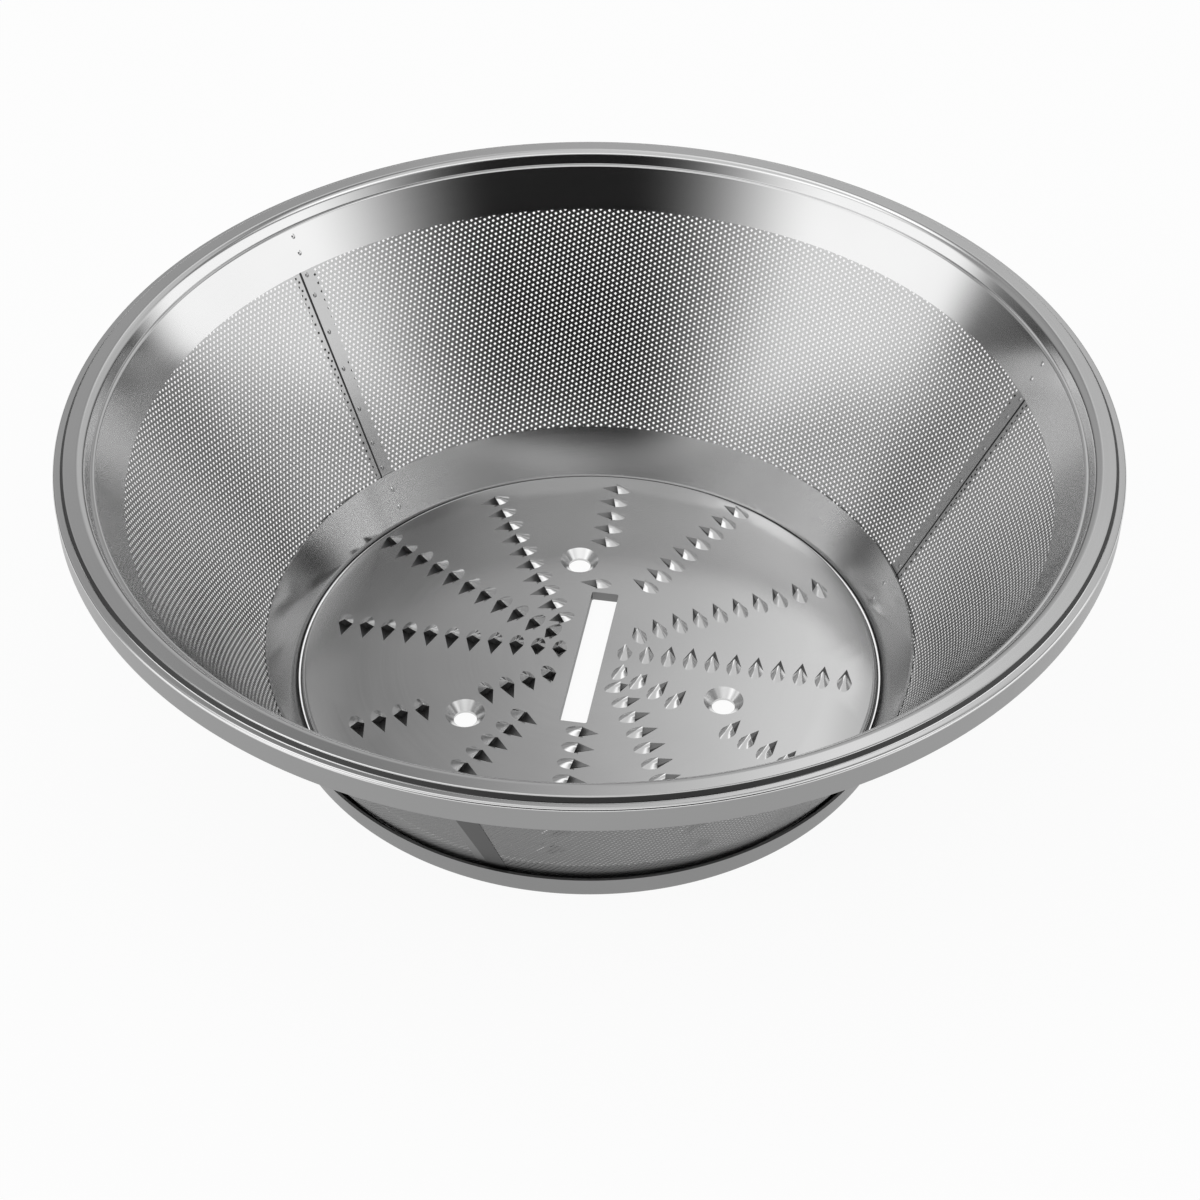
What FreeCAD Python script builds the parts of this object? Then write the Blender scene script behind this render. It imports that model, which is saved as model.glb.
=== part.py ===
"""Juicer mesh screen: a conical filter basket with a grating disc in its floor.

The axis is Z, the underside of the floor lies on Z = 0, and X and Y cross on the axis.
Lengths are in millimetres and angles in degrees.
"""

import math
import os

import FreeCAD
import Part

# Whole basket
basket_height = 58.6
cone_foot_radius = 54.9
cone_half_angle = 29.0

# Rim ring, pressed from one strip of sheet
rim_sheet = 0.4
rim_outer_radius = 92.5
rim_band_height = 5.3
rim_edge_width = 1.4
rim_edge_drop = 0.6
rim_skirt_depth = 10.0

# Base ring, a folded channel that holds the foot of the mesh
base_sheet = 0.5
base_wall_height = 10.0
base_floor_width = 3.5
base_band_flare = 0.4
base_band_height = 4.4

# Mesh foil, three panels with lapped seams
foil = 0.4
foil_clearance = 0.1
foil_top_gap = 2.4
seam_angles = (13.5, 133.5, 253.5)
seam_gap_angle = 0.25
lap_width = 2.2
lap_root = 1.0

# Coarse openings that stand for the fine perforation
opening_width = 9.2
opening_pitch = 15.6
opening_margin = 2.4

# Grating disc
disc_thickness = 2.0
disc_shoulder = 0.8
disc_clearance = 0.15
slot_length = 36.0
slot_width = 5.2
slot_angle = 80.0

# Countersunk screw holes
screw_circle_radius = 27.7
screw_angle = 94.0
screw_count = 3
screw_hole_radius = 2.15
countersink_radius = 3.7
countersink_depth = 1.5

# Grating teeth: a raised half cone with a pressed scoop in front of it
tooth_half_width = 1.4
tooth_length = 2.6
tooth_height = 1.5
tooth_lean = 0.6
tooth_sides = 3
tooth_root = 0.5
scoop_length = 3.6
scoop_depth = 0.9
scoop_share = 0.22
tooth_pitch = 4.18
tooth_clearance = 0.8

# Rows of teeth: direction, side step toward the scoops, radius of the first tooth and number of places
row_angles = (20.2, 50.4, 81.5, 110.8, 140.2, 169.6, 200.9, 231.1, 259.5, 288.2, 321.2, 348.4)
row_offsets = (2.1, 3.8, 1.3, 1.2, -0.5, -0.6, 2.2, 0.6, 1.9, 2.3, 0.3, 2.4)
row_first_radii = (10.8, 22.3, 20.6, 11.9, 9.8, 5.9, 8.9, 20.5, 20.3, 9.8, 7.5, 6.4)
row_counts = (10, 8, 8, 10, 11, 11, 10, 8, 8, 11, 11, 11)

# Values worked out from the sizes above
cone_slope = math.tan(math.radians(cone_half_angle))
cone_cosine = math.cos(math.radians(cone_half_angle))
base_band_radius = cone_foot_radius + base_floor_width
disc_radius = cone_foot_radius - base_sheet / cone_cosine - disc_clearance
axis_start = FreeCAD.Vector(0, 0, 0)
axis_up = FreeCAD.Vector(0, 0, 1)


def foil_face_radius(height):
    """Radius of the mesh foil's inner face at a height."""
    return cone_foot_radius + cone_slope * height


def polar(radius, degrees, height):
    """Point at a radius, an angle about the axis and a height."""
    turn = math.radians(degrees)
    return FreeCAD.Vector(radius * math.cos(turn), radius * math.sin(turn), height)


def section_point(point):
    """Point of a section, given as radius and height, in the XZ plane."""
    return FreeCAD.Vector(point[0], 0, point[1])


def strip_side(corners, offset):
    """Corners of one face of a bent strip, offset to the left of its centre line."""
    lefts = []
    for start, end in zip(corners, corners[1:]):
        size = math.dist(start, end)
        lefts.append(((start[1] - end[1]) / size, (end[0] - start[0]) / size))
    points = []
    for corner, before, after in zip(corners, lefts[:1] + lefts, lefts + lefts[-1:]):
        mitre = offset / (1 + before[0] * after[0] + before[1] * after[1])
        across = (before[0] + after[0], before[1] + after[1])
        points.append((corner[0] + mitre * across[0], corner[1] + mitre * across[1]))
    return points


def turned_ring(outline):
    """Solid of revolution whose section is a closed outline of radii and heights."""
    points = [section_point(point) for point in outline]
    section = Part.Face(Part.makePolygon(points + points[:1]))
    return section.revolve(axis_start, axis_up, 360)


def pressed_ring(corners, sheet):
    """Ring whose section is a strip of sheet bent along its centre line's corners."""
    left = strip_side(corners, sheet / 2)
    right = strip_side(corners, -sheet / 2)
    return turned_ring(left + right[::-1])


def polyhedron(loops):
    """Solid bounded by flat faces, each given as a loop of points."""
    faces = [Part.Face(Part.makePolygon(loop + loop[:1])) for loop in loops]
    solid = Part.Solid(Part.Shell(faces))
    solid.fixTolerance(1e-4)
    if solid.Volume < 0:
        solid.reverse()
    return solid


# Rim ring
def rim_ring():
    """Skirt inside the mesh, flat top, sloped outer edge and outer band."""

    def skirt_radius(height):
        return foil_face_radius(height) - rim_sheet / 2 / cone_cosine

    skirt_bottom = basket_height - rim_skirt_depth
    top = basket_height - rim_sheet / 2
    band_radius = rim_outer_radius - rim_sheet / 2
    corners = [
        (skirt_radius(skirt_bottom), skirt_bottom),
        (skirt_radius(top), top),
        (rim_outer_radius - rim_edge_width, top),
        (band_radius, top - rim_edge_drop),
        (band_radius, basket_height - rim_band_height),
    ]
    return pressed_ring(corners, rim_sheet)


# Base ring
def base_ring():
    """Inner wall inside the mesh, folded flat at the floor and up into the outer band."""
    floor = base_sheet / 2
    half_wall = base_sheet / 2 / cone_cosine
    corners = [
        (foil_face_radius(base_wall_height) - half_wall, base_wall_height),
        (foil_face_radius(floor) - half_wall, floor),
        (base_band_radius - base_sheet / 2, floor),
        (base_band_radius + base_band_flare - base_sheet / 2, base_band_height),
    ]
    return pressed_ring(corners, base_sheet)


# Mesh panels
panel_bottom = base_sheet + foil_clearance
panel_top = basket_height - rim_sheet - foil_top_gap


def foil_sheet(start, end, layer):
    """Part of the cone between two angles, in the inner layer or the one lapped outside it."""
    shift = layer * foil / cone_cosine
    wall = foil / cone_cosine
    section = [
        (foil_face_radius(panel_bottom) + shift, panel_bottom),
        (foil_face_radius(panel_top) + shift, panel_top),
        (foil_face_radius(panel_top) + shift + wall, panel_top),
        (foil_face_radius(panel_bottom) + shift + wall, panel_bottom),
    ]
    points = [section_point(point) for point in section]
    face = Part.Face(Part.makePolygon(points + points[:1]))
    sheet = face.revolve(axis_start, axis_up, end - start)
    sheet.rotate(axis_start, axis_up, start)
    return sheet


def opening_cutter(angle, height):
    """Block through the foil, bounded by two level planes and two planes through the axis."""
    rise = opening_width * cone_cosine / 2
    span = math.degrees(opening_width / foil_face_radius(height))
    inner = foil_face_radius(height - rise) - foil
    outer = foil_face_radius(height + rise) + foil * 3
    corners = [
        section_point((inner, height - rise)),
        section_point((outer, height - rise)),
        section_point((outer, height + rise)),
        section_point((inner, height + rise)),
    ]
    block = Part.Face(Part.makePolygon(corners + corners[:1])).revolve(axis_start, axis_up, span)
    block.rotate(axis_start, axis_up, angle - span / 2)
    return block


def openings(start, end):
    """Staggered rows of openings in the bare foil between the two rings."""
    low = base_wall_height + opening_margin + opening_width / 2
    high = basket_height - rim_skirt_depth - opening_margin - opening_width / 2
    row_rise = opening_pitch * math.sqrt(3) / 2 * cone_cosine
    rows = int((high - low) / row_rise) + 1
    spare = (high - low - (rows - 1) * row_rise) / 2
    middle_radius = foil_face_radius((low + high) / 2)
    step = math.degrees(opening_pitch / middle_radius)
    seam_margin = math.degrees((lap_width + opening_width) / foil_face_radius(low))
    columns = int((end - start - 2 * seam_margin) / step)
    first = (start + end) / 2 - (columns - 0.5) * step / 2
    cutters = []
    for row in range(rows):
        height = low + spare + row * row_rise
        stagger = step / 2 * (row % 2)
        for column in range(columns):
            cutters.append(opening_cutter(first + column * step + stagger, height))
    return cutters


def mesh_panel(start, end, lap_at_start, lap_at_end):
    """Foil panel, with strips that step out round the neighbours' edges at its seams."""
    inner_start = start + seam_gap_angle / 2
    inner_end = end - seam_gap_angle / 2
    lap_angle = math.degrees(lap_width / foil_face_radius(panel_bottom))
    root_angle = math.degrees(lap_root / foil_face_radius(panel_bottom))
    panel = foil_sheet(inner_start, inner_end, 0)
    if lap_at_start:
        panel = panel.fuse(foil_sheet(inner_start - lap_angle, inner_start + root_angle, 1))
    if lap_at_end:
        panel = panel.fuse(foil_sheet(inner_end - root_angle, inner_end + lap_angle, 1))
    return panel.cut(openings(inner_start, inner_end)).removeSplitter()


# Grating disc
def disc_blank():
    """Turned plate with a sloped shoulder, a little smaller than the foot of the base ring's wall."""
    outline = [
        (0, disc_thickness),
        (0, 0),
        (disc_radius, 0),
        (disc_radius, disc_thickness - disc_shoulder),
        (disc_radius - disc_shoulder, disc_thickness),
    ]
    return turned_ring(outline)


def drive_slot():
    """Cutter for the slot through the disc."""
    bar = Part.makeBox(
        slot_length,
        slot_width,
        disc_thickness * 3,
        FreeCAD.Vector(-slot_length / 2, -slot_width / 2, -disc_thickness),
    )
    bar.rotate(axis_start, axis_up, slot_angle)
    return bar


def screw_angles():
    """Angles of the screw holes about the axis."""
    return [screw_angle + place * 360 / screw_count for place in range(screw_count)]


def screw_cutter(angle):
    """Cutter for a screw hole with its countersink."""
    seat = polar(screw_circle_radius, angle, disc_thickness - countersink_depth)
    foot = polar(screw_circle_radius, angle, -disc_thickness)
    sink = Part.makeCone(screw_hole_radius, countersink_radius, countersink_depth, seat)
    bore = Part.makeCylinder(screw_hole_radius, disc_thickness * 2.5, foot)
    return sink.fuse(bore)


def tooth_frame(angle, offset, radius):
    """Placing function for a tooth: along its row, toward its scoop, and up from the disc."""
    along = polar(1, angle, 0)
    ahead = polar(1, angle + 90, 0)
    origin = along * radius + ahead * offset + axis_up * disc_thickness
    return lambda a, b, c: origin + along * a + ahead * b + axis_up * c


def raised_tooth(place):
    """Half cone on the disc, its tip leaning over the scoop, with a root inside the plate."""
    turns = [math.pi * side / tooth_sides for side in range(tooth_sides + 1)]
    outline = [(tooth_half_width * math.cos(t), -tooth_length * math.sin(t)) for t in turns]
    foot = [place(a, b, -tooth_root) for a, b in outline]
    waist = [place(a, b, 0) for a, b in outline]
    apex = place(0, tooth_lean, tooth_height)
    loops = [foot, [foot[0], waist[0], waist[-1], foot[-1]], [waist[0], apex, waist[-1]]]
    for side in range(tooth_sides):
        loops.append([foot[side], foot[side + 1], waist[side + 1], waist[side]])
        loops.append([waist[side], waist[side + 1], apex])
    return polyhedron(loops)


def scoop_size(radius):
    """Length of a tooth's scoop: shorter near the middle, where the rows run close together."""
    return min(scoop_length, scoop_share * radius)


def scoop_cutter(place, length):
    """Pointed hollow pressed into the disc in front of a tooth."""
    rise = tooth_root
    left, right = place(tooth_half_width, 0, 0), place(-tooth_half_width, 0, 0)
    tail, deep = place(0, length, 0), place(0, 0, -scoop_depth)
    lifted = [point + axis_up * rise for point in (left, right, tail)]
    loops = [
        lifted,
        [left, right, lifted[1], lifted[0]],
        [right, tail, lifted[2], lifted[1]],
        [tail, left, lifted[0], lifted[2]],
        [left, right, deep],
        [right, tail, deep],
        [tail, left, deep],
    ]
    return polyhedron(loops)


def clear_of_cuts(place):
    """True if a tooth lies on the flat of the disc, away from the slot and the screw holes."""
    reach = math.hypot(tooth_half_width, max(tooth_length, scoop_length)) / 2
    middle = place(0, (scoop_length - tooth_length) / 2, 0)
    ends = [place(tooth_half_width, 0, 0), place(0, scoop_length, 0)]
    if max(math.hypot(end.x, end.y) for end in ends) > disc_radius - disc_shoulder:
        return False
    for angle in screw_angles():
        hole = polar(screw_circle_radius, angle, disc_thickness)
        if (middle - hole).Length < countersink_radius + reach + tooth_clearance:
            return False
    slot_way = polar(1, slot_angle, 0)
    slot_side = polar(1, slot_angle + 90, 0)
    beyond = abs(middle.dot(slot_way)) - slot_length / 2
    beside = abs(middle.dot(slot_side)) - slot_width / 2
    return max(beyond, beside) > tooth_half_width + tooth_clearance


def tooth_places():
    """Placing function and scoop length of each tooth, row by row from the middle outward."""
    places = []
    rows = zip(row_angles, row_offsets, row_first_radii, row_counts)
    for angle, offset, first, count in rows:
        for step in range(count):
            radius = first + step * tooth_pitch
            place = tooth_frame(angle, offset, radius)
            if clear_of_cuts(place):
                places.append((place, scoop_size(radius)))
    return places


def grating_disc():
    """Disc with its slot, screw holes and rows of teeth."""
    places = tooth_places()
    cutters = [drive_slot()] + [screw_cutter(angle) for angle in screw_angles()]
    cutters += [scoop_cutter(place, length) for place, length in places]
    disc = disc_blank().cut(cutters)
    return disc.fuse([raised_tooth(place) for place, length in places]).removeSplitter()


right_seam, left_seam, front_seam = seam_angles
nodes = {
    "rim_ring": rim_ring(),
    "mesh_panel_back": mesh_panel(right_seam, left_seam, False, False),
    "mesh_panel_left": mesh_panel(left_seam, front_seam, True, True),
    "mesh_panel_right": mesh_panel(front_seam, right_seam + 360, False, True),
    "base_ring": base_ring(),
    "grating_disc": grating_disc(),
}

os.makedirs("parts", exist_ok=True)
for name, shape in nodes.items():
    shape.exportStep("parts/" + name + ".step")
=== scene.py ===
"""Looks of the juicer mesh screen: a conical steel filter basket with a grating disc in its floor.

All pieces are in metres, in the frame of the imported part: the axis is Z and the underside is Z = 0.
"""

import math

import bpy
import numpy as np
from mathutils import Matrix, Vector
from mathutils.geometry import delaunay_2d_cdt


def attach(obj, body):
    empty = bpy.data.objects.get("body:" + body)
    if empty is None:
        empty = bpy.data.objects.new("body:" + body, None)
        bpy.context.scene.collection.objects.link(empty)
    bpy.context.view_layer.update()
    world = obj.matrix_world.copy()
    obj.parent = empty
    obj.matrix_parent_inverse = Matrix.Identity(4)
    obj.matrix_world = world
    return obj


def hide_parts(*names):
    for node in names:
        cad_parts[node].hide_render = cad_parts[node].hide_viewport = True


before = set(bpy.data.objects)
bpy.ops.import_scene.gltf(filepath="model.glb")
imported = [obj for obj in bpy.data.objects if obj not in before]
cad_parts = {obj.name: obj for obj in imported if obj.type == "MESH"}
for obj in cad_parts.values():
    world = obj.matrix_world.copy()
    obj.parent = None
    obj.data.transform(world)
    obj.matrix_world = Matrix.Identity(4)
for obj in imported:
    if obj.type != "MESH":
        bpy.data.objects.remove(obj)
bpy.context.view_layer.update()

# Base ring
# A strip of bright stainless sheet folded into a channel round the foot of the basket.
# Its inner wall lies inside the mesh and is spot welded to it, and its outer band flares a little.
mm = 0.001
cone_foot_radius = 54.9 * mm
cone_half_angle = math.radians(29.0)
cone_slope = math.tan(cone_half_angle)
cone_sine = math.sin(cone_half_angle)
cone_cosine = math.cos(cone_half_angle)
ring_segments = 288
base_sheet = 0.5 * mm
base_wall_height = 10.0 * mm
base_band_radius = 58.4 * mm
base_band_flare = 0.4 * mm
base_band_height = 4.4 * mm
base_fold_bend = 0.5 * mm
sheet_crease = math.radians(50)
# Painted shade: the outer band is painted darker, for a darker reflection, and the channel's inside
# dark, as shade.
base_band_shade = 0.58
base_channel_shade = 0.55
wall_margin = 0.1 * mm
floor_margin = 0.3 * mm
band_margin = 0.2 * mm
right_seam, left_seam, front_seam = (math.radians(turn) for turn in (13.5, 133.5, 253.5))
weld_turn = math.radians(0.9)
weld_angles = (right_seam + weld_turn, left_seam - weld_turn, front_seam - weld_turn)
weld_sides = 12
weld_radius = 0.42 * mm
weld_stretch = 1.3
weld_rise = 0.13 * mm
weld_root = 0.1 * mm
base_weld_heights = mm * np.array([3.7, 7.1])


def wall_radius(height):
    """Radius of the mesh's inner face: the foot radius plus the cone's slope times the height."""
    return cone_foot_radius + cone_slope * height


def bent_strip(corners, bends, sheet, arc_steps=6, support=0.12 * mm):
    """Closed section, as radii and heights, of a strip of sheet bent along its centre line.

    Each corner becomes an arc whose centre lies one bend radius off both runs. Each face runs half
    a sheet off that line, and long straight runs get a point close to each end to hold their shade.
    """
    corners = np.asarray(corners)
    runs = np.diff(corners, axis=0)
    ways = runs / np.linalg.norm(runs, axis=1)[:, None]
    lefts = np.stack([-ways[:, 1], ways[:, 0]], axis=1)
    headings = np.arctan2(ways[:, 1], ways[:, 0])
    turns = (np.diff(headings) + math.pi) % (2 * math.pi) - math.pi
    faces = []
    for offset in (-sheet / 2, sheet / 2):
        face = [corners[:1] + offset * lefts[:1]]
        for place, (bend, turn) in enumerate(zip(bends, turns)):
            hand = math.copysign(1.0, turn)
            reach = bend * math.tan(abs(turn) / 2)
            centre = corners[place + 1] - reach * ways[place] + hand * bend * lefts[place]
            steps = headings[place] + turn * np.linspace(0, 1, arc_steps + 1)
            arm = hand * bend - offset
            face.append(centre + arm * np.stack([np.sin(steps), -np.cos(steps)], axis=1))
        face.append(corners[-1:] + offset * lefts[-1:])
        points = np.concatenate(face)
        sizes = np.linalg.norm(np.diff(points, axis=0), axis=1)
        stations = np.concatenate([[0], np.cumsum(sizes)])
        long_runs = sizes > 4 * support
        starts = stations[:-1][long_runs] + support
        ends = stations[1:][long_runs] - support
        held = np.sort(np.concatenate([stations, starts, ends]))
        face_points = [np.interp(held, stations, points[:, axis]) for axis in (0, 1)]
        faces.append(np.stack(face_points, axis=1))
    return np.concatenate([faces[0], faces[1][::-1]])


def turned(section, segments):
    """Surface of revolution of a closed section: at turn t a point stands at r cos t, r sin t, z."""
    turn = np.arange(segments) * (2 * math.pi / segments)
    radius, height = section.T
    x = np.outer(np.cos(turn), radius)
    y = np.outer(np.sin(turn), radius)
    z = np.broadcast_to(height, x.shape)
    index = np.arange(x.size).reshape(x.shape)
    ahead = np.roll(index, -1, axis=0)
    first = np.stack([index, ahead, np.roll(ahead, -1, axis=1)], axis=2)
    second = np.stack([index, np.roll(ahead, -1, axis=1), np.roll(index, -1, axis=1)], axis=2)
    faces = np.concatenate([first.reshape(-1, 3), second.reshape(-1, 3)])
    return np.stack([x, y, z], axis=2).reshape(-1, 3), faces


def cone_points(slant, angle, depth):
    """Points on the cone, a depth outside the mesh's inner face.

    The slant is measured from the cone's tip, and the angle is about the axis. The radius is the
    slant times the sine of the half angle, and the depth goes along the outward normal.
    """
    radius = slant * cone_sine
    height = (radius - cone_foot_radius) / cone_slope
    reach = radius + depth * cone_cosine
    return np.stack(
        [reach * np.cos(angle), reach * np.sin(angle), height - depth * cone_sine], axis=-1
    )


def slant_at(height):
    """Distance from the cone's tip, along the wall, of a height on the mesh's inner face."""
    return wall_radius(height) / cone_sine


def weld_marks(angle, heights, inset):
    """Low domes at an angle and some heights on a wall whose face lies an inset inside the cone.

    Each dome falls from its middle by the cosine of the way out, and ends in a point in the sheet.
    """
    turn = np.arange(weld_sides) * (2 * math.pi / weld_sides)
    ring = np.array([1.0, 0.66, 0.33])
    slant = slant_at(np.asarray(heights))[:, None, None]
    up = np.outer(ring, np.sin(turn)) * weld_radius * weld_stretch
    aside = np.outer(ring, np.cos(turn)) * weld_radius
    lift = -inset - weld_rise * np.cos(ring * math.pi / 2)[:, None]
    domes = cone_points(slant + up, angle + aside / (slant * cone_sine), lift)
    tops = cone_points(slant, np.full_like(slant, angle), np.full_like(slant, -inset - weld_rise))
    feet = cone_points(slant, np.full_like(slant, angle), np.full_like(slant, weld_root - inset))
    count = len(slant)
    around = len(ring) * weld_sides
    points = np.concatenate([domes.reshape(count, around, 3), tops[:, 0], feet[:, 0]], axis=1)
    index = np.arange(around).reshape(len(ring), weld_sides)
    ahead = np.roll(index, -1, axis=1)
    lower = np.stack([index[:-1], index[1:], ahead[1:]], axis=2).reshape(-1, 3)
    upper = np.stack([index[:-1], ahead[1:], ahead[:-1]], axis=2).reshape(-1, 3)
    crown = np.stack([index[-1], np.full(weld_sides, around), ahead[-1]], axis=1)
    sole = np.stack([ahead[0], np.full(weld_sides, around + 1), index[0]], axis=1)
    dome = np.concatenate([lower, upper, crown, sole])
    faces = dome[None] + (np.arange(count) * (around + 2))[:, None, None]
    return points.reshape(-1, 3), faces.reshape(-1, 3)


def joined(*shells):
    """One set of points and faces from several."""
    counts = np.cumsum([0] + [len(points) for points, faces in shells])
    points = np.concatenate([points for points, faces in shells])
    faces = [faces + count for (points, faces), count in zip(shells, counts)]
    return points, np.concatenate(faces)


def add_piece(name, points, faces, crease, shade=None):
    """Mesh object from arrays of points and of faces with equal sides, smooth up to a crease angle.

    The shade is a painted shade for each face, from 0 where the steel keeps its colour to 1 where it is
    painted near black.
    """
    mesh = bpy.data.meshes.new(name)
    mesh.vertices.add(len(points))
    mesh.vertices.foreach_set("co", np.ascontiguousarray(points, dtype=np.float32).ravel())
    mesh.loops.add(faces.size)
    mesh.loops.foreach_set("vertex_index", np.ascontiguousarray(faces, dtype=np.int32).ravel())
    mesh.polygons.add(len(faces))
    starts = np.arange(0, faces.size, faces.shape[1], dtype=np.int32)
    mesh.polygons.foreach_set("loop_start", starts)
    if shade is not None:
        shade = np.ascontiguousarray(shade, dtype=np.float32)
        mesh.attributes.new("shade", "FLOAT", "FACE").data.foreach_set("value", shade)
    mesh.update(calc_edges=True)
    mesh.validate()
    mesh.shade_smooth()
    mesh.set_sharp_from_angle(angle=crease)
    piece = bpy.data.objects.new(name, mesh)
    bpy.context.scene.collection.objects.link(piece)
    return piece


class Wire:
    """A socket in a node tree: arithmetic on it adds Math nodes, and node() adds any other."""

    def __init__(self, tree, socket=None):
        self.tree = tree
        self.socket = socket

    def node(self, kind, settings=None, sockets=None, output=0):
        """Adds a node, sets its settings and then its sockets, and gives one of its outputs."""
        made = self.tree.nodes.new(kind)
        for name, value in (settings or {}).items():
            setattr(made, name, value)
        for name, value in (sockets or {}).items():
            if isinstance(value, Wire):
                self.tree.links.new(value.socket, made.inputs[name])
            else:
                made.inputs[name].default_value = value
        return Wire(self.tree, made.outputs[output] if made.outputs else None)

    def math(self, operation, first, second=0.0):
        """A Math node on two values."""
        return self.node("ShaderNodeMath", {"operation": operation}, {0: first, 1: second})

    def __add__(self, other):
        return self.math("ADD", self, other)

    __radd__ = __add__

    def __sub__(self, other):
        return self.math("SUBTRACT", self, other)

    def __rsub__(self, other):
        return self.math("SUBTRACT", other, self)

    def __mul__(self, other):
        return self.math("MULTIPLY", self, other)

    __rmul__ = __mul__

    def __truediv__(self, other):
        return self.math("DIVIDE", self, other)

    def __rtruediv__(self, other):
        return self.math("DIVIDE", other, self)

    def __pow__(self, other):
        return self.math("POWER", self, other)

    def step(self, low, high):
        """Smooth step from 0 at one value to 1 at another."""
        sockets = {"Value": self, "From Min": low, "From Max": high}
        return self.node("ShaderNodeMapRange", {"interpolation_type": "SMOOTHSTEP"}, sockets)

    def blend(self, first, second):
        """Colour between two colours, by this value."""
        sockets = {0: self, 6: first, 7: second}
        settings = {"data_type": "RGBA", "clamp_factor": True}
        return self.node("ShaderNodeMix", settings, sockets, output=2)


def grey(level):
    """Neutral colour of a level."""
    return (level, level, level, 1.0)


def bright_steel(name, light, dark, roughness, grain, along_wall):
    """Stainless steel between a light and a dark grey, with faint lines and smudges, painted near black
    and rougher by the painted shade.

    The lines are noise stretched round the axis, or up the wall, in object coordinates: it changes
    fast with radius and height, or with angle, and slowly the other way.
    """
    material = bpy.data.materials.new(name)
    material.use_nodes = True
    tree = material.node_tree
    tree.nodes.clear()
    wire = Wire(tree)
    place = wire.node("ShaderNodeTexCoord", output=3)
    x = wire.node("ShaderNodeSeparateXYZ", None, {0: place}, output=0)
    y = wire.node("ShaderNodeSeparateXYZ", None, {0: place}, output=1)
    z = wire.node("ShaderNodeSeparateXYZ", None, {0: place}, output=2)
    radius = (x * x + y * y + 1e-12) ** 0.5
    if along_wall:
        line_place = {0: x / radius * grain, 1: y / radius * grain, 2: z * 20.0}
    else:
        line_place = {0: radius * grain, 1: z * grain, 2: x / radius * 1.5}
    line_vector = wire.node("ShaderNodeCombineXYZ", None, line_place)
    line_sockets = {"Vector": line_vector, "Scale": 1.0, "Detail": 1.5, "Roughness": 0.6}
    lines = wire.node("ShaderNodeTexNoise", None, line_sockets)
    smudge_sockets = {"Vector": place, "Scale": 38.0, "Detail": 2.0, "Roughness": 0.55}
    smudges = wire.node("ShaderNodeTexNoise", None, smudge_sockets)
    tone = smudges.step(0.3, 0.75) * 0.6 + lines * 0.4
    # Painted shade: the face attribute blends the colour towards near black and raises the roughness.
    painted_shade = wire.node("ShaderNodeAttribute", {"attribute_name": "shade"}, output=2)
    bump_sockets = {"Strength": 0.1, "Distance": 0.004 * mm, "Height": lines}
    shader_sockets = {
        "Base Color": painted_shade.blend(tone.blend(grey(dark), grey(light)), grey(0.03)),
        "Roughness": roughness + (lines - 0.5) * 0.04 + (smudges - 0.5) * 0.05 + painted_shade * 0.4,
        "Metallic": 1.0,
        "Normal": wire.node("ShaderNodeBump", None, bump_sockets),
    }
    shader = wire.node("ShaderNodeBsdfPrincipled", None, shader_sockets)
    wire.node("ShaderNodeOutputMaterial", None, {"Surface": shader})
    return material


base_floor = base_sheet / 2
base_half_wall = base_sheet / 2 / cone_cosine
base_section = bent_strip(
    [
        (wall_radius(base_wall_height) - base_half_wall, base_wall_height),
        (wall_radius(base_floor) - base_half_wall, base_floor),
        (base_band_radius - base_sheet / 2, base_floor),
        (base_band_radius + base_band_flare - base_sheet / 2, base_band_height),
    ],
    [base_fold_bend, base_fold_bend],
    base_sheet,
)
base_points, base_faces = joined(
    turned(base_section, ring_segments),
    *(weld_marks(angle, base_weld_heights, base_sheet) for angle in weld_angles),
)
base_middles = base_points[base_faces].mean(axis=1)
base_radii = np.linalg.norm(base_middles[:, :2], axis=1)
base_heights = base_middles[:, 2]
# Faces inside the channel and on the outer band get their painted shade.
in_channel = (base_radii > wall_radius(base_heights) - wall_margin) & (base_heights > floor_margin)
on_base_band = (base_radii > base_band_radius - band_margin) & (base_heights < base_band_height)
base_shade = np.select([on_base_band, in_channel], [base_band_shade, base_channel_shade], 0.0)
base_ring = add_piece("base_ring_steel", base_points, base_faces, sheet_crease, base_shade)
base_steel = bright_steel(
    "base_steel", light=0.62, dark=0.57, roughness=0.13, grain=2600.0, along_wall=False
)
base_ring.data.materials.append(base_steel)
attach(base_ring, "root")
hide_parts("base_ring")

# Mesh panels
# Three panels of etched stainless foil, each a third of the cone. At each seam one panel ends in a
# blank strip, a lap painted dark as shade lies outside the joint, and spot welds run down the strip.
foil = 0.05 * mm
foil_depth = 0.15 * mm
panel_bottom = 0.7 * mm
panel_top = 55.6 * mm
perforated_bottom = 2.4 * mm
perforated_top = 52.5 * mm
panel_foot_points = 90
panel_top_points = 130
panel_side_points = 44
sliver_area = 1e-4 * mm * mm
hole_pitch = 1.02 * mm
hole_half_diagonal = 0.31 * mm
blank_strip = 2.5 * mm
trimmed_edge = 0.40 * mm
lap_width = 2.2 * mm
lap_root = 1.0 * mm
lap_gap = 0.4 * foil
lap_columns = 5
lap_rows = 40
seam_gap = math.radians(0.35)
foil_crease = math.radians(35)
foil_across_limit = 0.4
# Painted shade: the foil's outside is painted darker, for a darker reflection, and the hole walls as
# shade in the holes.
foil_outside_shade = 0.66
foil_hole_shade = 0.4
# Painted shade: the lap is painted dark, so that the gap at the seam shows dark.
lap_painted_shade = 0.88
foil_weld_heights = mm * np.array([11.3, 16.1, 22.6, 30.2, 37.1, 43.9, 47.6])
panel_sweep = math.radians(120) - seam_gap


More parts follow.
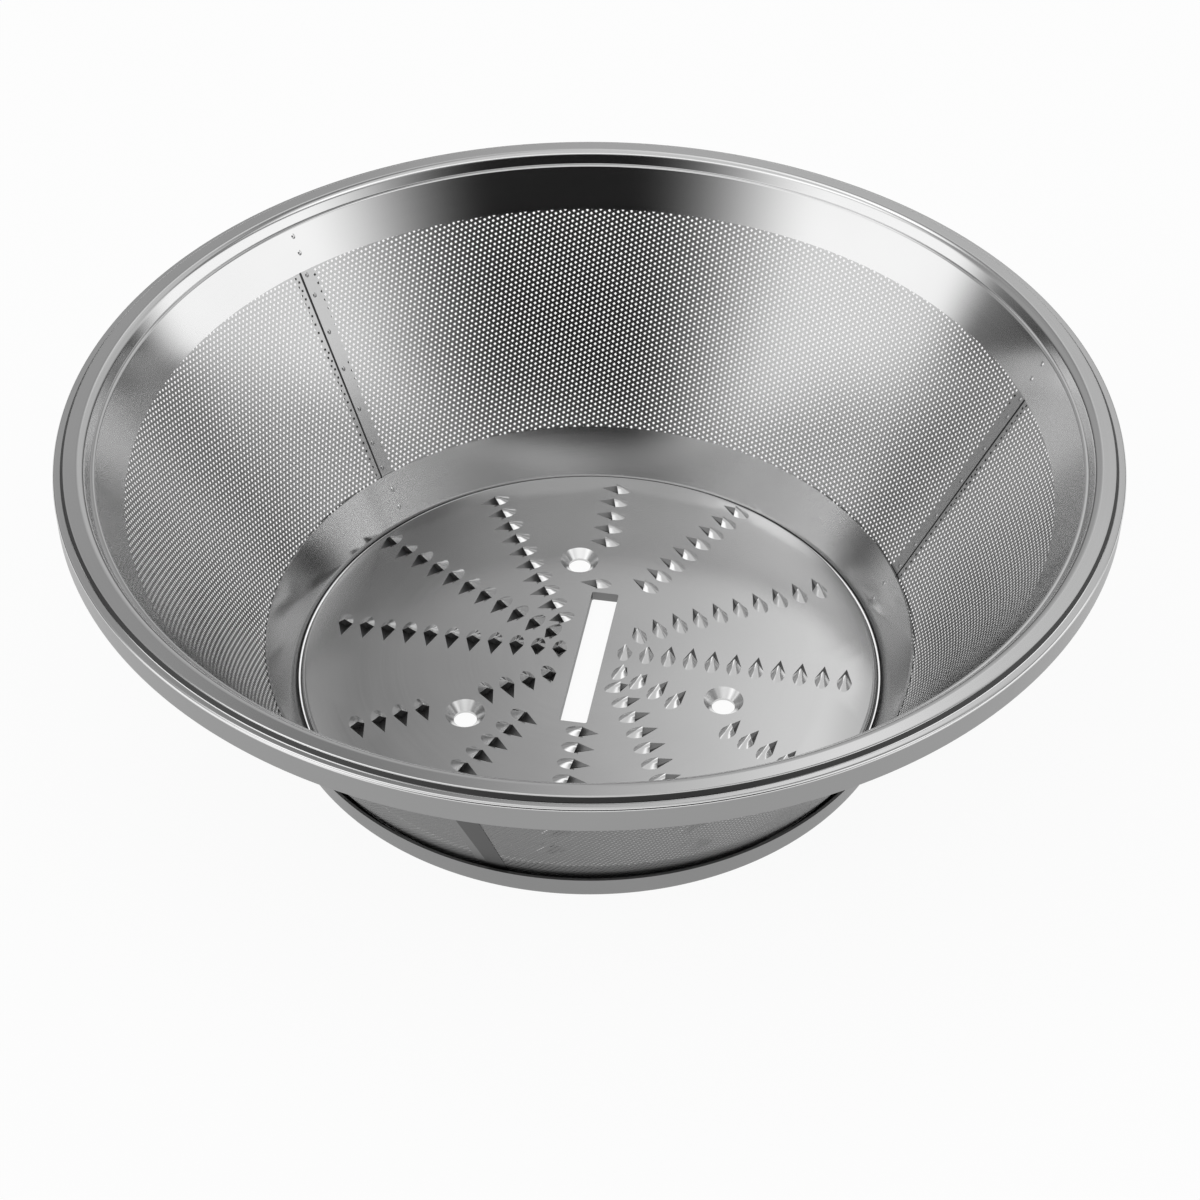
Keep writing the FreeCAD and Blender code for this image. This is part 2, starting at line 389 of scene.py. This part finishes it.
def triangulated(points, loops):
    """Delaunay triangles of a flat area, without those that fill one of its loops.

    Points are in metres, and each loop is an array of point numbers in order round an opening.
    The loops are constraints, and a triangle with all its corners on one loop lies inside it.
    Slivers along a straight edge go too.
    """
    owner = np.full(len(points), -1)
    edges = []
    for number, loop in enumerate(loops):
        owner[loop] = number
        edges.append(np.stack([loop, np.roll(loop, -1)], axis=1))
    edges = np.concatenate(edges).tolist()
    flat = [Vector(point) for point in (points / mm).tolist()]
    result = delaunay_2d_cdt(flat, edges, [], 0, 1e-7)
    source = np.array([given[0] for given in result[3]])
    triangles = source[np.array(result[2])]
    first, second, third = (points[triangles[:, corner]] for corner in range(3))
    ahead, aside = second - first, third - first
    area = ahead[:, 0] * aside[:, 1] - ahead[:, 1] * aside[:, 0]
    triangles = np.where(area[:, None] < 0, triangles[:, ::-1], triangles)
    owners = owner[triangles]
    filled = (owners[:, 0] >= 0) & (owners[:, 0] == owners[:, 1]) & (owners[:, 0] == owners[:, 2])
    return triangles[~filled & (np.abs(area) > sliver_area)]


def walled(triangles, count):
    """Closes two like skins, the second numbered from count, with a wall along every open edge."""
    edges = np.concatenate([triangles[:, [0, 1]], triangles[:, [1, 2]], triangles[:, [2, 0]]])
    codes = edges[:, 0] * count + edges[:, 1]
    reverse = edges[:, 1] * count + edges[:, 0]
    start, end = edges[~np.isin(reverse, codes)].T
    upper = np.stack([end, start, start + count], axis=1)
    lower = np.stack([end, start + count, end + count], axis=1)
    return np.concatenate([triangles, triangles[:, ::-1] + count, upper, lower])


def perforated_panel(middle, blank_start, blank_end):
    """Closed skin of a panel about the angle of its middle, worked out on the flattened cone.

    A flattened point lies at its slant from the tip and at its angle times the sine of the cone's
    half angle. The holes are four-sided, on a triangular lattice with columns up the middle, and
    keep clear of a blank strip of a given width at each end. The foot's edge is hollow, so it counts
    as an opening, and what would span it is dropped.
    """
    spread = panel_sweep * cone_sine
    low, high = slant_at(panel_bottom), slant_at(panel_top)
    column_gap = hole_pitch * math.sqrt(3) / 2
    half_columns = int(high * math.sin(spread / 2) / column_gap) + 1
    lowest_row = int(low * math.cos(spread / 2) / hole_pitch) - 1
    columns = np.arange(-half_columns, half_columns + 1)
    rows = np.arange(lowest_row, int(high / hole_pitch) + 2)
    column, row = np.meshgrid(columns, rows)
    across = (column * column_gap).ravel()
    up = ((row + 0.5 * (column % 2)) * hole_pitch).ravel()
    slant, angle = np.hypot(across, up), np.arctan2(across, up)
    kept = (slant > slant_at(perforated_bottom)) & (slant < slant_at(perforated_top))
    kept &= (angle + spread / 2) * slant > blank_start
    kept &= (spread / 2 - angle) * slant > blank_end
    centres = np.stack([across[kept], up[kept]], axis=1)
    corners = hole_half_diagonal * np.array([[1, 0], [0, 1], [-1, 0], [0, -1]])
    hole_points = (centres[:, None, :] + corners).reshape(-1, 2)
    hole_loops = np.arange(len(hole_points)).reshape(-1, 4)
    foot_turn = np.linspace(-spread / 2, spread / 2, panel_foot_points)
    top_turn = np.linspace(spread / 2, -spread / 2, panel_top_points)
    side_turn = np.full(panel_side_points, spread / 2)
    foot_slant = np.full(panel_foot_points, low)
    top_slant = np.full(panel_top_points, high)
    side_slant = np.linspace(low, high, panel_side_points + 2)[1:-1]
    edge_slant = np.concatenate([foot_slant, side_slant, top_slant, side_slant[::-1]])
    edge_turn = np.concatenate([foot_turn, side_turn, top_turn, -side_turn])
    edge_points = np.stack([edge_slant * np.sin(edge_turn), edge_slant * np.cos(edge_turn)], axis=1)
    points = np.concatenate([hole_points, edge_points])
    foot = len(hole_points) + np.arange(panel_foot_points)
    triangles = triangulated(points, list(hole_loops) + [foot])
    slant, angle = np.hypot(*points.T), np.arctan2(*points.T) / cone_sine
    outer = cone_points(slant, middle + angle, foil_depth + foil)
    inner = cone_points(slant, middle + angle, foil_depth)
    return np.concatenate([outer, inner]), walled(triangles, len(points))


def foil_shade(points, faces):
    """Painted shade of each face of the foil: painted darker outside, less so across it in the holes,
    and none inside.

    A face's normal is the cross product of two sides. The foil's normal leans down from the ray by
    the cone's half angle. A face whose normal follows neither it nor its reverse lies across the foil.
    """
    first, second, third = (points[faces[:, corner]] for corner in range(3))
    normal = np.cross(second - first, third - first)
    normal /= np.linalg.norm(normal, axis=1)[:, None]
    ray = (first + second + third)[:, :2]
    ray /= np.linalg.norm(ray, axis=1)[:, None]
    facing = (normal[:, :2] * ray).sum(axis=1) * cone_cosine - normal[:, 2] * cone_sine
    sides = [facing > foil_across_limit, facing > -foil_across_limit]
    return np.select(sides, [foil_outside_shade, foil_hole_shade], 0.0)


def lap_shade(points, faces):
    """Painted shade of a lap, dark so that the seam's gap shows dark, and 0 elsewhere."""
    middles = points[faces].mean(axis=1)
    out = np.hypot(middles[:, 0], middles[:, 1]) - wall_radius(middles[:, 2])
    return np.where(out * cone_cosine > foil_depth + foil + lap_gap / 2, lap_painted_shade, 0.0)


def lap_strip(start, end):
    """Closed bar of blank foil outside the first layer, between two angles, over the panel's height."""
    angle = np.linspace(start, end, lap_columns)
    angle = np.concatenate([angle, angle[::-1]])
    inner_depth = foil_depth + foil + lap_gap
    depth = np.repeat([inner_depth, inner_depth + foil], lap_columns)
    slant = np.linspace(slant_at(panel_bottom), slant_at(panel_top), lap_rows)
    points = cone_points(slant[:, None], angle[None, :], depth[None, :]).reshape(-1, 3)
    index = np.arange(len(points)).reshape(lap_rows, 2 * lap_columns)
    ahead = np.roll(index, -1, axis=1)
    quads = np.stack([index[:-1], index[1:], ahead[1:], ahead[:-1]], axis=2).reshape(-1, 4)
    inner = np.arange(lap_columns - 1)
    outer = 2 * lap_columns - 1 - inner
    caps = np.stack([inner, inner + 1, outer - 1, outer], axis=1)
    quads = np.concatenate([quads, caps, caps[:, ::-1] + index[-1, 0]])
    return points, np.concatenate([quads[:, [0, 1, 2]], quads[:, [0, 2, 3]]])


lap_turn = lap_width / wall_radius(panel_bottom)
root_turn = lap_root / wall_radius(panel_bottom)
sixth = math.radians(60)
right_welds, left_welds, front_welds = weld_angles
mesh_steel = bright_steel(
    "mesh_steel", light=0.46, dark=0.41, roughness=0.22, grain=900.0, along_wall=True
)
panels = {
    "mesh_panel_back": joined(
        perforated_panel(right_seam + sixth, blank_strip, blank_strip),
        weld_marks(right_welds, foil_weld_heights, -foil_depth),
        weld_marks(left_welds, foil_weld_heights, -foil_depth),
    ),
    "mesh_panel_left": joined(
        perforated_panel(left_seam + sixth, trimmed_edge, blank_strip),
        lap_strip(left_seam - lap_turn, left_seam + root_turn),
        lap_strip(front_seam - root_turn, front_seam + lap_turn),
        weld_marks(front_welds, foil_weld_heights, -foil_depth),
    ),
    "mesh_panel_right": joined(
        perforated_panel(front_seam + sixth, trimmed_edge, trimmed_edge),
        lap_strip(right_seam - root_turn, right_seam + lap_turn),
    ),
}
for node, (points, faces) in panels.items():
    # Painted shade of the foil and of its laps.
    shade = np.maximum(foil_shade(points, faces), lap_shade(points, faces))
    panel = add_piece(node + "_foil", points, faces, foil_crease, shade)
    panel.data.materials.append(mesh_steel)
    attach(panel, "root")
    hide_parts(node)

# Rim ring
# One pressed strip of bright sheet: a skirt inside the mesh with a small ledge, a rolled inner edge,
# a flat top, a joggle and an outer band. It is spot welded to the top of the mesh.
basket_height = 58.6 * mm
rim_sheet = 0.4 * mm
rim_outer_radius = 92.5 * mm
rim_band_height = 5.3 * mm
rim_flat_outer_radius = 90.5 * mm
rim_joggle_run = 0.64 * mm
rim_joggle_drop = 0.85 * mm
rim_skirt_depth = 10.0 * mm
rim_ledge_depth = 2.3 * mm
rim_ledge_width = 0.6 * mm
rim_bend = 0.3 * mm
rim_roll = 1.5 * mm
rim_joggle_bend = 0.25 * mm
rim_shoulder_bend = 0.35 * mm
# Painted shade: the outer band darker and the joggle's slope nearly black.
rim_band_shade = 0.5
rim_joggle_shade = 0.93
rim_weld_heights = mm * np.array([51.6, 54.6])

rim_skirt_bottom = basket_height - rim_skirt_depth
rim_ledge = basket_height - rim_ledge_depth - rim_sheet / 2
rim_top = basket_height - rim_sheet / 2
rim_half_wall = rim_sheet / 2 / cone_cosine
rim_upper_skirt = wall_radius(rim_ledge) - rim_half_wall + rim_ledge_width
rim_band_radius = rim_outer_radius - rim_sheet / 2
rim_section = bent_strip(
    [
        (wall_radius(rim_skirt_bottom) - rim_half_wall, rim_skirt_bottom),
        (wall_radius(rim_ledge) - rim_half_wall, rim_ledge),
        (rim_upper_skirt, rim_ledge),
        (rim_upper_skirt + cone_slope * (rim_top - rim_ledge), rim_top),
        (rim_flat_outer_radius, rim_top),
        (rim_flat_outer_radius + rim_joggle_run, rim_top - rim_joggle_drop),
        (rim_band_radius, rim_top - rim_joggle_drop),
        (rim_band_radius, basket_height - rim_band_height),
    ],
    [rim_bend, rim_bend, rim_roll, rim_bend, rim_joggle_bend, rim_shoulder_bend],
    rim_sheet,
)
rim_points, rim_faces = joined(
    turned(rim_section, ring_segments),
    *(weld_marks(angle, rim_weld_heights, rim_sheet) for angle in weld_angles),
)
rim_middles = rim_points[rim_faces].mean(axis=1)
rim_radii = np.hypot(rim_middles[:, 0], rim_middles[:, 1])
# Painted shade: the band is painted darker, for a darker reflection, and the joggle's slope nearly
# black, as shade in the crease, so that it shows as a dark line.
on_band = rim_radii > rim_outer_radius - 0.1 * rim_sheet
on_joggle = np.abs(rim_radii - rim_flat_outer_radius - 0.6 * rim_joggle_run) < 0.4 * rim_joggle_run
rim_shade = np.select([on_band, on_joggle], [rim_band_shade, rim_joggle_shade], 0.0)
rim_ring = add_piece("rim_ring_steel", rim_points, rim_faces, sheet_crease, rim_shade)
rim_steel = bright_steel(
    "rim_steel", light=0.64, dark=0.60, roughness=0.13, grain=2600.0, along_wall=False
)
rim_ring.data.materials.append(rim_steel)
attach(rim_ring, "root")
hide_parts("rim_ring")

# Grating disc
# A thick polished plate with a rounded shoulder, whose edge is pressed into the foot of the base ring.
# Its slot and countersunk holes are pierced, and each tooth is a burr raised over a pressed scoop.
disc_thickness = 2.0 * mm
disc_radius = 54.18 * mm
disc_shoulder = 0.8 * mm
shoulder_points = 8
slot_length = 36.0 * mm
slot_width = 5.2 * mm
slot_corner = 0.4 * mm
slot_corner_points = 5
slot_angle = math.radians(80)
screw_circle_radius = 27.7 * mm
screw_angles = np.radians(94.0 + 120.0 * np.arange(3))
screw_hole_radius = 2.15 * mm
countersink_radius = 3.7 * mm
countersink_depth = 1.5 * mm
hole_segments = 48
tooth_half_width = 1.4 * mm
tooth_length = 2.6 * mm
tooth_height = 1.5 * mm
tooth_lean = 0.6 * mm
tooth_waist = 0.5
tooth_waist_rise = 0.46
tooth_sides = 12
tooth_pitch = 4.18 * mm
tooth_clearance = 0.8 * mm
scoop_length = 3.6 * mm
scoop_depth = 0.9 * mm
scoop_share = 0.22
scoop_middle_share = 0.62
# Painted shade: the slot's walls, the teeth's mouths and scoops, and the groove at the edge are painted
# dark.
hollow_shade = 0.7
groove_shade = 0.75
disc_crease = math.radians(18)
merge_distance = 0.001 * mm
row_angles = np.radians(
    [20.2, 50.4, 81.5, 110.8, 140.2, 169.6, 200.9, 231.1, 259.5, 288.2, 321.2, 348.4]
)
row_offsets = mm * np.array([2.1, 3.8, 1.3, 1.2, -0.5, -0.6, 2.2, 0.6, 1.9, 2.3, 0.3, 2.4])
row_first_radii = mm * np.array([10.8, 22.3, 20.6, 11.9, 9.8, 5.9, 8.9, 20.5, 20.3, 9.8, 7.5, 6.4])
row_counts = np.array([10, 8, 8, 10, 11, 11, 10, 8, 8, 11, 11, 11])


def rays(turn):
    """Unit vectors at angles about the axis."""
    return np.stack([np.cos(turn), np.sin(turn)], axis=-1)


def tooth_frames():
    """Middle, way along the row, way towards the scoop and scoop length of each tooth.

    Row by row, teeth stand a pitch apart from the row's first radius outward, a little off the ray,
    where they clear the slot and the holes. Near the middle a scoop is a share of the radius long.
    """
    rows, places = np.arange(len(row_counts)), np.arange(row_counts.max())
    row, place = np.meshgrid(rows, places, indexing="ij")
    row, place = row.ravel(), place.ravel()
    along, ahead = rays(row_angles[row]), rays(row_angles[row] + math.pi / 2)
    radius = row_first_radii[row] + place * tooth_pitch
    middle = radius[:, None] * along + row_offsets[row, None] * ahead
    wide = np.linalg.norm(middle + tooth_half_width * along, axis=1)
    tail = np.linalg.norm(middle + scoop_length * ahead, axis=1)
    clear = (np.maximum(wide, tail) < disc_radius - disc_shoulder) & (place < row_counts[row])
    centre = middle + (scoop_length - tooth_length) / 2 * ahead
    reach = math.hypot(tooth_half_width, scoop_length) / 2
    for hole in screw_circle_radius * rays(screw_angles):
        clear &= np.linalg.norm(centre - hole, axis=1) > countersink_radius + reach + tooth_clearance
    beyond = np.abs(centre @ rays(slot_angle)) - slot_length / 2
    beside = np.abs(centre @ rays(slot_angle + math.pi / 2)) - slot_width / 2
    clear &= np.maximum(beyond, beside) > tooth_half_width + tooth_clearance
    scoop = np.minimum(scoop_length, scoop_share * radius)
    return middle[clear], along[clear], ahead[clear], scoop[clear]


def tooth_burrs(middle, along, ahead, scoop):
    """Outline and faces of every tooth: a half cone with its tip over the scoop, a mouth and a scoop.

    The foot is a half ellipse and the waist a smaller one, a little under half the way to the tip.
    The scoop's two sides meet in a line that rises from under the tip to the tail.
    """
    count = tooth_sides + 1
    turn = np.linspace(0, math.pi, count)
    foot = np.stack([tooth_half_width * np.cos(turn), -tooth_length * np.sin(turn), 0 * turn], axis=1)
    top = np.array([0, tooth_lean, tooth_height])
    waist = tooth_waist * foot + tooth_waist_rise * top
    rest = [
        [-tooth_half_width / 2, 0, 0],
        [0, 0, 0],
        [tooth_half_width / 2, 0, 0],
        top,
        [0, 0, -scoop_depth],
        [0, 0, -scoop_middle_share * scoop_depth],
    ]
    local = np.concatenate([foot, waist, rest])
    scoop_part = np.concatenate([np.zeros(2 * count), [0.5, 1.0, 0.5, 0.0, 0.0, 0.5]])
    forward = local[:, 1] + scoop[:, None] * scoop_part
    near, tail, far, tip, deep, line = 2 * count + np.arange(6)
    k = np.arange(tooth_sides)
    last = tooth_sides
    faces = np.concatenate(
        [
            np.stack([k, k + count, k + 1], axis=1),
            np.stack([k + 1, k + count, k + count + 1], axis=1),
            np.stack([k + count, np.full(tooth_sides, tip), k + count + 1], axis=1),
            [[deep, count, 0], [deep, tip, count]],
            [[deep, count + last, tip], [deep, last, count + last]],
            [[last, deep, near], [deep, line, near], [line, tail, near]],
            [[far, deep, 0], [far, line, deep], [far, tail, line]],
        ]
    )
    spots = (
        middle[:, None, :]
        + local[None, :, :1] * along[:, None, :]
        + forward[:, :, None] * ahead[:, None, :]
    )
    rise = np.broadcast_to(disc_thickness + local[None, :, 2:], spots.shape[:2] + (1,))
    points = np.concatenate([spots, rise], axis=2)
    all_faces = faces[None] + (np.arange(len(middle)) * len(local))[:, None, None]
    outlines = points[:, list(range(count)) + [near, tail, far], :2]
    return points.reshape(-1, 3), all_faces.reshape(-1, 3), outlines


def band_between(rings):
    """Triangles of a skin that runs from loop to loop, each loop an equal row of points."""
    rings = np.asarray(rings)
    index = np.arange(rings.shape[0] * rings.shape[1]).reshape(rings.shape[:2])
    ahead = np.roll(index, -1, axis=1)
    lower = np.stack([index[:-1], ahead[:-1], ahead[1:]], axis=2).reshape(-1, 3)
    upper = np.stack([index[:-1], ahead[1:], index[1:]], axis=2).reshape(-1, 3)
    return rings.reshape(-1, 3), np.concatenate([lower, upper])


def lifted(loop, height):
    """A flat loop of points at a height."""
    return np.concatenate([loop, np.full((len(loop), 1), height)], axis=1)


def flat_skin(rim, openings, height, up):
    """Flat face at a height inside a rim, with openings, facing up or down."""
    points = np.concatenate([rim] + openings)
    starts = np.cumsum([len(rim)] + [len(loop) for loop in openings])
    loops = [start + np.arange(len(loop)) for start, loop in zip(starts, openings)]
    triangles = triangulated(points, loops)
    return lifted(points, height), triangles if up else triangles[:, ::-1]


def slot_loop():
    """Rectangle with small round corners: quarter circles about four inset corners, then turned."""
    quarter = np.linspace(0, math.pi / 2, slot_corner_points)
    signs = np.array([[1, 1], [-1, 1], [-1, -1], [1, -1]])
    inset = np.array([slot_length, slot_width]) / 2 - slot_corner
    turn = (quarter[None] + np.arange(4)[:, None] * math.pi / 2).ravel()
    loop = np.repeat(signs * inset, slot_corner_points, axis=0) + slot_corner * rays(turn)
    return loop @ np.stack([rays(slot_angle), rays(slot_angle + math.pi / 2)])


edge_turn = np.arange(ring_segments) * (2 * math.pi / ring_segments)
hole_turn = np.arange(hole_segments) * (2 * math.pi / hole_segments)
shoulder = np.linspace(0, math.pi / 2, shoulder_points)
# A lip low on the edge closes the gap to the base ring.
lip_radius = mm * np.array([0.0, 0.0, 0.36, 0.44, 0.0])
lip_height = mm * np.array([0.0, 0.3, 0.4, 0.55, 0.6])
edge_radius = disc_radius + np.concatenate([lip_radius, -disc_shoulder * (1 - np.cos(shoulder))])
edge_height = np.concatenate([lip_height, disc_thickness - disc_shoulder * (1 - np.sin(shoulder))])
edge_skin = band_between(
    [lifted(radius * rays(edge_turn), height) for radius, height in zip(edge_radius, edge_height)]
)
screw_places = screw_circle_radius * rays(screw_angles)
sink_loops = [place + countersink_radius * rays(hole_turn) for place in screw_places]
bore_loops = [place + screw_hole_radius * rays(hole_turn) for place in screw_places]
sink_floor = disc_thickness - countersink_depth
bore_skins = [
    band_between([lifted(sink, disc_thickness), lifted(bore, sink_floor), lifted(bore, 0)])
    for sink, bore in zip(sink_loops, bore_loops)
]
slot_skin = band_between([lifted(slot_loop(), disc_thickness), lifted(slot_loop(), 0)])
burr_points, burr_faces, burr_outlines = tooth_burrs(*tooth_frames())
top_rim = edge_radius[-1] * rays(edge_turn)
top_skin = flat_skin(
    top_rim, [slot_loop()] + sink_loops + list(burr_outlines), disc_thickness, True
)
under_rim = disc_radius * rays(edge_turn)
under_skin = flat_skin(under_rim, [slot_loop()] + bore_loops, 0.0, False)
disc_points, disc_faces = joined(
    top_skin, under_skin, edge_skin, slot_skin, (burr_points, burr_faces), *bore_skins
)
# Painted shade on the slot's walls, the teeth's mouths and scoops, and the groove round the edge.
tooth_faces = len(burr_faces) // len(burr_outlines)
in_hollow = np.tile(np.arange(tooth_faces) >= 3 * tooth_sides, len(burr_outlines))
in_groove = np.repeat(np.arange(len(edge_radius) - 1) < len(lip_radius), ring_segments)
shell_shades = [np.zeros(len(faces)) for points, faces in (top_skin, under_skin)]
shell_shades += [groove_shade * np.tile(in_groove, 2)]
shell_shades += [np.full(len(slot_skin[1]), hollow_shade), hollow_shade * in_hollow]
shell_shades += [np.zeros(len(faces)) for points, faces in bore_skins]
keys = np.round(disc_points / merge_distance).astype(np.int64)
_, first_seen, merged = np.unique(keys, axis=0, return_index=True, return_inverse=True)
disc_points, disc_faces = disc_points[first_seen], merged.reshape(-1)[disc_faces]
disc_shade = np.concatenate(shell_shades)
grating_disc = add_piece("grating_disc_plate", disc_points, disc_faces, disc_crease, disc_shade)
disc_steel = bright_steel(
    "disc_steel", light=0.64, dark=0.58, roughness=0.16, grain=2200.0, along_wall=False
)
grating_disc.data.materials.append(disc_steel)
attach(grating_disc, "root")
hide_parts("grating_disc")

# Stage
# A pale floor that runs out of sight, a soft studio all round with a dark gap behind the viewer,
# and the camera at the viewing angle of the photograph.
floor_size = 6.0
floor_tone = 0.90
floor_whiteness = 0.93
facing_light = 0.56
facing_tilt = 1.9
high_facing_tilt = 6.0
side_light = 1.45
side_top_loss = 1.20
light_over_viewer = 1.75
skylight_middle = 0.85
skylight_tilt = 3.5
skylight_least = 0.25
gap_darkness = 0.99
lens_length = 74.55
sensor_width = 36.0
frame_pixels = 1200
frame_shift_pixels = 10.5
camera_place = (0.0, -0.3430, 0.3240)
camera_fall = 41.91

floor_points = floor_size * np.array([[-1, -1, 0], [1, -1, 0], [1, 1, 0], [-1, 1, 0]])
floor = add_piece("floor", floor_points, np.array([[0, 1, 2, 3]]), math.radians(30))
floor_material = bpy.data.materials.new("floor_paper")
floor_material.use_nodes = True
floor_material.node_tree.nodes.clear()
paper = Wire(floor_material.node_tree)
seen = paper.node("ShaderNodeLightPath", output="Is Camera Ray")
seen = seen.math("MAXIMUM", seen, paper.node("ShaderNodeLightPath", output="Is Glossy Ray"))
seen = seen.math("MAXIMUM", seen, paper.node("ShaderNodeLightPath", output="Is Transmission Ray"))
matt = paper.node("ShaderNodeBsdfDiffuse", None, {"Color": grey(floor_tone)})
white = paper.node("ShaderNodeEmission", None, {"Color": grey(1.0), "Strength": 1.0})
surface = paper.node("ShaderNodeMixShader", None, {0: seen * floor_whiteness, 1: matt, 2: white})
paper.node("ShaderNodeOutputMaterial", None, {"Surface": surface})
floor.data.materials.append(floor_material)

world = bpy.data.worlds.new("studio")
bpy.context.scene.world = world
world.use_nodes = True
world.node_tree.nodes.clear()
studio = Wire(world.node_tree)
# East is to the viewer's right, and south is towards the viewer.
way = studio.node("ShaderNodeTexCoord", output=0)
east = studio.node("ShaderNodeSeparateXYZ", None, {0: way}, output=0)
north = studio.node("ShaderNodeSeparateXYZ", None, {0: way}, output=1)
up = studio.node("ShaderNodeSeparateXYZ", None, {0: way}, output=2)
level = (east * east + north * north + 1e-9) ** 0.5
south = (0.0 - north) / level
right_hand = east.step(-0.10, 0.10)
# Large light boxes stand beside the viewer and lose their light towards the top.
beside_viewer = (south + 0.28 * right_hand).step(-0.22, 0.02)
box_top = (up + 0.10 * right_hand).step(0.50, 0.62)
side_boxes = side_light - side_top_loss * box_top * (1.0 - south.step(0.45, 0.80))
# The wall that faces the viewer is dim, lighter to the right and darker towards the floor.
high = up.step(0.60, 0.68)
near_middle = 1.0 - 0.8 * east.math("ABSOLUTE", east).step(0.11, 0.17)
aside = east.math("MINIMUM", east.math("MAXIMUM", east, -0.10), 0.10)
tilt = facing_tilt + high_facing_tilt * high * near_middle
facing_viewer = facing_light * studio.math("EXPONENT", aside * tilt)
facing_viewer = facing_viewer * up.step(-0.02, 0.30)
strength = facing_viewer * (1.0 - beside_viewer) + side_boxes * beside_viewer
# A bright box hangs over the viewer, and a skylight overhead is brighter to the left.
over_viewer = up.step(0.55, 0.68) * south.step(-0.30, 0.30)
strength = strength * (1.0 - over_viewer) + light_over_viewer * over_viewer
overhead = up.step(0.78, 0.88)
skylight = skylight_middle - skylight_tilt * east * north.step(0.10, 0.30)
skylight = studio.math("MAXIMUM", skylight, skylight_least)
strength = strength * (1.0 - overhead) + skylight * overhead
# The gap behind the viewer, between the boxes, is dark.
gap_behind_viewer = (south + 0.12 * east).step(0.45, 0.97)
gap_behind_viewer = gap_behind_viewer * up.step(0.10, 0.22) * (1.0 - up.step(0.64, 0.80))
strength = strength * (1.0 - gap_darkness * gap_behind_viewer)
sky = studio.node("ShaderNodeBackground", None, {"Color": grey(1.0), "Strength": strength})
studio.node("ShaderNodeOutputWorld", None, {"Surface": sky})

camera_data = bpy.data.cameras.new("camera")
camera_data.lens = lens_length
camera_data.sensor_width = sensor_width
camera_data.shift_x = frame_shift_pixels / frame_pixels
camera = bpy.data.objects.new("camera", camera_data)
camera.location = camera_place
camera.rotation_euler = (math.radians(90 - camera_fall), 0.0, 0.0)
bpy.context.scene.collection.objects.link(camera)
bpy.context.scene.camera = camera
bpy.context.scene.view_settings.view_transform = "Standard"
